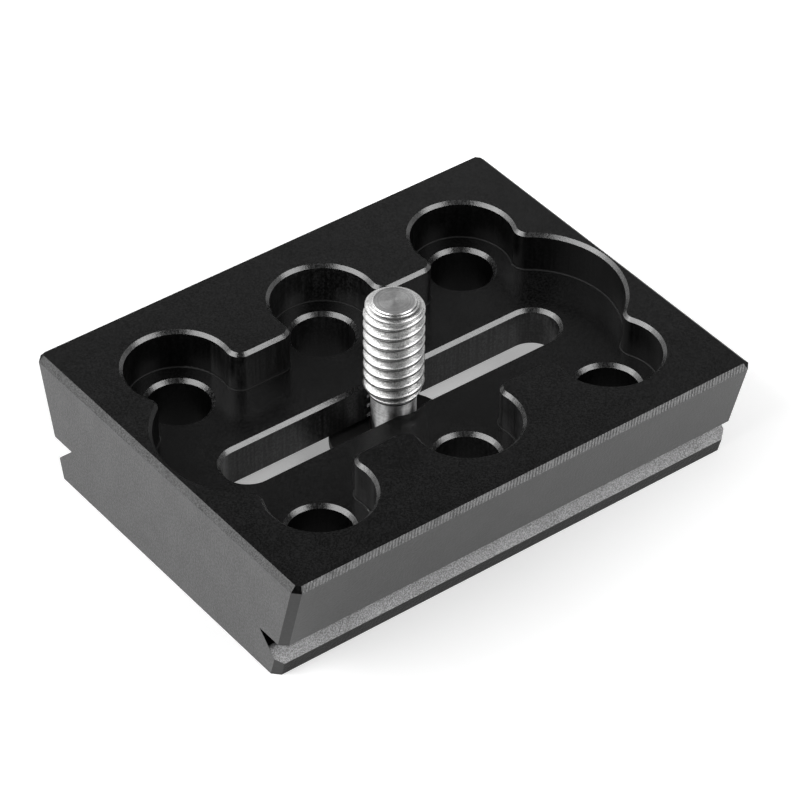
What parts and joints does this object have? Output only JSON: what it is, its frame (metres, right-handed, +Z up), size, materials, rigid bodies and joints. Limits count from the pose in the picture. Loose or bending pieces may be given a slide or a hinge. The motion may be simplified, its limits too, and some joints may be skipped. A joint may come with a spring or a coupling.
{
  "type": "dovetail mounting plate",
  "caption": "Short black dovetail plate with a lobed pocket, counterbored holes and a slot in which a captive camera screw slides and turns.",
  "frame": {"origin": "the middle of the plate's underside, on the axis of the camera screw", "axes": "+X runs along the plate and its slot, +Y across it, +Z up, the way the screw's thread points"},
  "size_m": [0.0574, 0.0446, 0.0212],
  "materials": {
    "plate_black": "black anodised",
    "screw_steel": "turned",
    "washer_black": "matte"
  },
  "bodies": {
    "plate": {"dovetail_plate": "plate_black"},
    "washer": {"screw_washer": "washer_black"},
    "screw": {"camera_screw": "screw_steel"}
  },
  "joints": [
    {"name": "washer_slide", "type": "slide", "parent": "plate", "child": "washer", "axis": [1, 0, 0], "range_m": [-0.0185, 0.0185]},
    {"name": "screw_spin", "type": "hinge", "parent": "washer", "child": "screw", "pos_m": [0, 0, 0], "axis": [0, 0, 1], "continuous": true}
  ]
}
